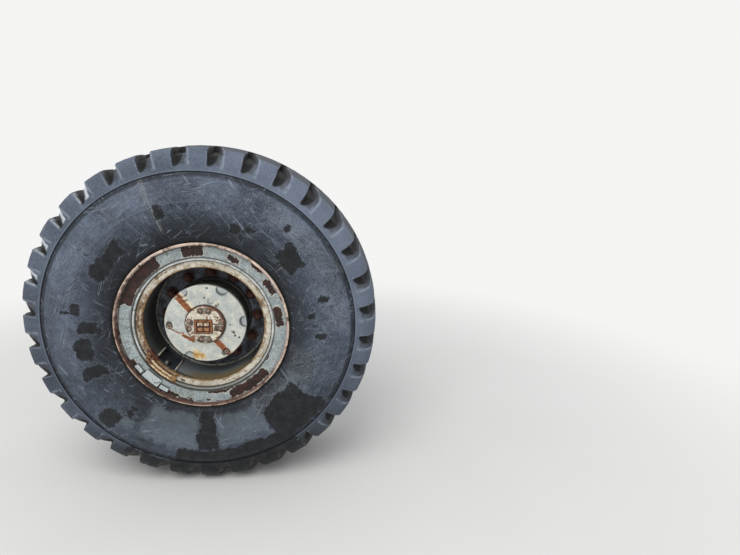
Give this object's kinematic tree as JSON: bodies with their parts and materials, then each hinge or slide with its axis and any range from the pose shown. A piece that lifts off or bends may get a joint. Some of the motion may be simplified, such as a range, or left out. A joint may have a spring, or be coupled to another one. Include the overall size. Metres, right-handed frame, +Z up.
{
  "type": "dump truck rear wheel end",
  "caption": "Rear wheel end of an articulated dump truck: lugged earthmover tyre on a multi-piece rim, planetary hub, brake disc with caliper, and bolt-on spindle.",
  "frame": {"origin": "middle of the spindle flange's inner face, which bolts to the axle casing", "axes": "+Y inboard along the wheel's axle, +X to the front of the truck, +Z up"},
  "size_m": [1.5916, 0.648, 1.5912],
  "materials": {
    "rubber": "worn, matt, blue-grey with wet patches",
    "rim_paint": "weathered pale grey paint with rust",
    "dark_steel": "dark dirty paint",
    "key_steel": "rusty",
    "nut_steel": "dark rust",
    "hub_iron": "dirty painted casting",
    "cover_paint": "pale blue-grey paint with rust streaks",
    "cap_paint": "flaking cream paint over rust",
    "disc_iron": "worn bright with rusty edges",
    "seal_rubber": "matt",
    "caliper_iron": "dirty",
    "pad_lining": "dusty lining",
    "shaft_steel": "oily machined steel"
  },
  "bodies": {
    "axle_end": {"spindle": "hub_iron", "seal_ring": "seal_rubber", "caliper_bracket": "dark_steel", "brake_caliper": "caliper_iron", "brake_pads": "pad_lining"},
    "wheel": {"tyre": "rubber", "rim_base": "rim_paint", "gutter_section": "rim_paint", "mounting_disc": "dark_steel", "bead_seat_band": "rim_paint", "outer_flange_ring": "rim_paint", "inner_flange_ring": "rim_paint", "lock_ring": "rim_paint", "lock_key": "key_steel", "driver_block": "rim_paint", "valve_stem": "dark_steel", "wheel_nuts": "nut_steel", "hub": "hub_iron", "planet_housing": "hub_iron", "hub_cover": "cover_paint", "cover_screws": "nut_steel", "centre_cap": "cap_paint", "cap_bolts": "nut_steel", "cap_plate": "cap_paint", "brake_disc": "disc_iron"},
    "half_shaft": {"half_shaft": "shaft_steel"}
  },
  "joints": [
    {"name": "wheel_spin", "type": "hinge", "parent": "axle_end", "child": "wheel", "pos_m": [0, -0.28, 0], "axis": [0, 1, 0], "continuous": true},
    {"name": "half_shaft_spin", "type": "hinge", "parent": "axle_end", "child": "half_shaft", "pos_m": [0, 0, 0], "axis": [0, 1, 0], "continuous": true}
  ],
  "couplings": [
    {"joint": "half_shaft_spin", "follows": "wheel_spin", "ratio": 5}
  ]
}
